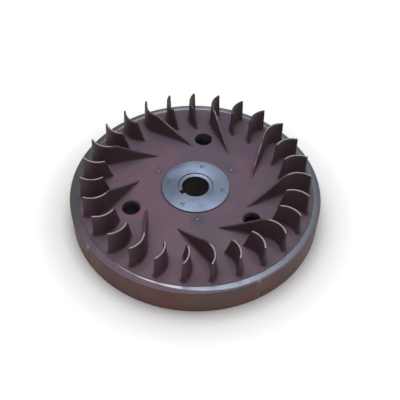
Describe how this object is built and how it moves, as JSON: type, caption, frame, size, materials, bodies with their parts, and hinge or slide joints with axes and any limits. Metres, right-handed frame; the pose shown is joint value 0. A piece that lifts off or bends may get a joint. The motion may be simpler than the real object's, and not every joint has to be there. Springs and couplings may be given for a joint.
{
  "type": "flywheel",
  "caption": "Fan flywheel for a small engine: cast rim, dished web and hub, curved cooling vanes on the front, magnets in the hollow behind.",
  "frame": {"origin": "on the axis of rotation, in the plane of the rim's rear face", "axes": "+Z along the axis of rotation, towards the vanes; +X to the right in the reference view and +Y away from it"},
  "size_m": [0.25, 0.25, 0.0583],
  "materials": {
    "rim_paint": "cast iron under thin red-brown primer, with a bare turned ring on the front edge",
    "web_paint": "cast iron under brown-violet primer, satin with an uneven cast surface",
    "vane_paint": "cast iron under dark brown-violet primer, rubbed pale along the top edges",
    "machined_iron": "bare turned cast iron, fine lathe marks, blue-grey",
    "carrier_steel": "plain turned steel",
    "keeper_stainless": "thin rolled stainless sleeve",
    "ferrite": "ground dark grey ferrite"
  },
  "bodies": {
    "root": {"rim": "rim_paint", "web": "web_paint", "hub": "machined_iron", "vane_long_1": "vane_paint", "vane_long_2": "vane_paint", "vane_long_3": "vane_paint", "vane_long_4": "vane_paint", "vane_long_5": "vane_paint", "vane_long_6": "vane_paint", "vane_long_7": "vane_paint", "vane_long_8": "vane_paint", "vane_long_9": "vane_paint", "vane_short_1": "vane_paint", "vane_short_2": "vane_paint", "vane_short_3": "vane_paint", "vane_short_4": "vane_paint", "vane_short_5": "vane_paint", "vane_short_6": "vane_paint", "vane_short_7": "vane_paint", "vane_short_8": "vane_paint", "vane_short_9": "vane_paint", "vane_short_10": "vane_paint", "vane_short_11": "vane_paint", "vane_short_12": "vane_paint", "vane_short_13": "vane_paint", "vane_short_14": "vane_paint", "vane_short_15": "vane_paint", "vane_short_16": "vane_paint", "vane_short_17": "vane_paint", "vane_short_18": "vane_paint", "magnet_carrier": "carrier_steel", "magnet_keeper": "keeper_stainless", "magnet_1": "ferrite", "magnet_2": "ferrite", "magnet_3": "ferrite", "magnet_4": "ferrite", "magnet_5": "ferrite", "magnet_6": "ferrite", "magnet_7": "ferrite", "magnet_8": "ferrite", "magnet_9": "ferrite", "magnet_10": "ferrite", "magnet_11": "ferrite", "magnet_12": "ferrite"}
  },
  "joints": []
}
